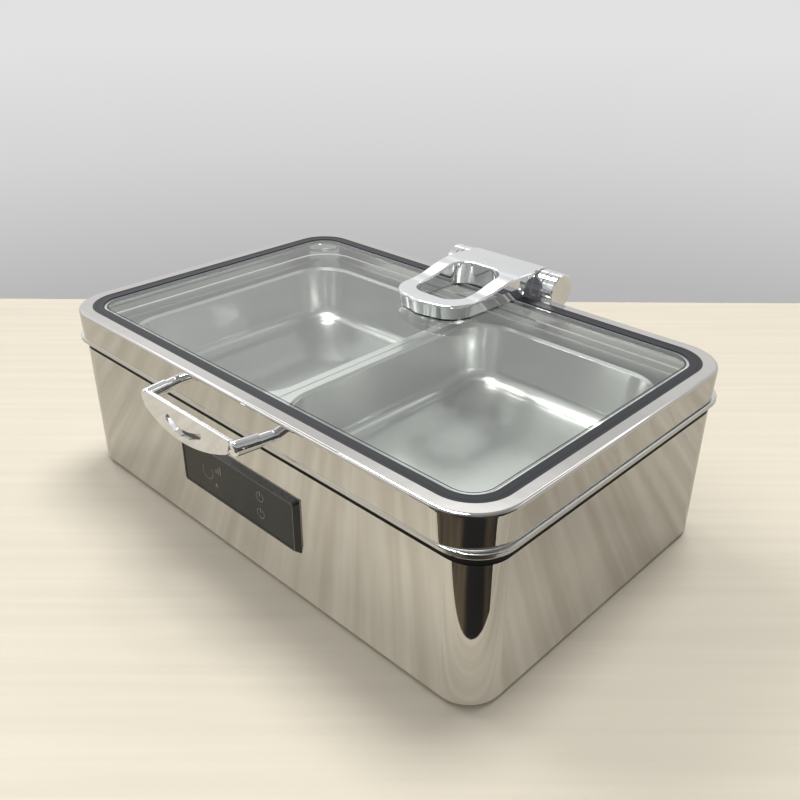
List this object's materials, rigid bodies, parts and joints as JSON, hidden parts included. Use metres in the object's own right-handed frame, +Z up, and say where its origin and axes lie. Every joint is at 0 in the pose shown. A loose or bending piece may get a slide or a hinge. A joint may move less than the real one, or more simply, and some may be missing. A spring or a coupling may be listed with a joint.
{
  "type": "induction chafing dish",
  "caption": "Countertop induction chafing dish: polished housing, lift-out food pans side by side, and a glazed lid on a damped rear hinge with a looped arm.",
  "frame": {"origin": "middle of the footprint, on the surface that the feet stand on", "axes": "+X along the long side to the right seen from the panel, +Y from the panel towards the hinge, +Z up"},
  "size_m": [0.593, 0.4756, 0.2177],
  "materials": {
    "polished_steel": "mirror-polished stainless steel",
    "polished_casting": "bright plated casting",
    "satin_steel": "satin stainless steel",
    "plain_steel": "plain steel",
    "screw_steel": "bright zinc plated",
    "clear_glass": "clear toughened glass",
    "gasket_rubber": "dark grey silicone",
    "foot_rubber": "black rubber",
    "bezel_plastic": "black, semi-gloss",
    "panel_black": "black touch glass",
    "board_green": "green solder resist",
    "component_plastic": "dark moulded cases",
    "black_plastic": "black moulded plastic",
    "mica": "pressed mica",
    "copper": "lacquered copper",
    "ferrite": "sintered, dark grey",
    "sheet_aluminium": "mill finish",
    "brass": "plain brass",
    "lead_sleeve": "red silicone sleeve"
  },
  "bodies": {
    "base": {"housing": "polished_steel", "hinge_end_caps": "polished_casting", "hinge_bracket": "polished_casting", "water_pan": "satin_steel", "base_plate": "plain_steel", "nut_plate": "plain_steel", "hinge_pin": "plain_steel", "base_screws": "screw_steel", "bracket_screws": "screw_steel", "inlet_screws": "screw_steel", "pan_seal": "gasket_rubber", "feet": "foot_rubber", "panel_bezel": "bezel_plastic", "panel_glass": "panel_black", "control_board": "board_green", "power_board": "board_green", "display_module": "component_plastic", "touch_pads": "component_plastic", "board_components": "component_plastic", "coil_tray": "black_plastic", "board_posts": "black_plastic", "fan_frame": "black_plastic", "mains_inlet": "black_plastic", "insulation_sheet": "mica", "coil": "copper", "ferrite_bars": "ferrite", "coil_support": "sheet_aluminium", "heat_sink": "sheet_aluminium", "inlet_pins": "brass", "temperature_sensor": "brass", "coil_leads": "lead_sleeve"},
    "lid": {"lid_frame": "polished_steel", "lid_gasket": "gasket_rubber", "lid_glass": "clear_glass", "lid_bumpers": "gasket_rubber", "handle": "polished_casting", "handle_screws": "screw_steel", "hinge_arm": "polished_casting", "arm_pad": "gasket_rubber", "clamp_plate": "plain_steel", "clamp_screws": "screw_steel", "hinge_bushes": "brass", "hinge_damper": "plain_steel"},
    "food_pan_left": {"food_pan_left": "satin_steel"},
    "food_pan_right": {"food_pan_right": "satin_steel"},
    "fan": {"fan_impeller": "black_plastic"}
  },
  "joints": [
    {"name": "lid_hinge", "type": "hinge", "parent": "base", "child": "lid", "pos_m": [0, 0.214, 0.195], "axis": [-1, 0, 0], "range_deg": [0, 90]},
    {"name": "food_pan_left_lift", "type": "slide", "parent": "base", "child": "food_pan_left", "axis": [0, 0, 1], "range_m": [0, 0.015]},
    {"name": "food_pan_right_lift", "type": "slide", "parent": "base", "child": "food_pan_right", "axis": [0, 0, 1], "range_m": [0, 0.015]},
    {"name": "fan_spin", "type": "hinge", "parent": "base", "child": "fan", "pos_m": [0.18, 0, 0.016], "axis": [0, 0, 1], "continuous": true}
  ]
}
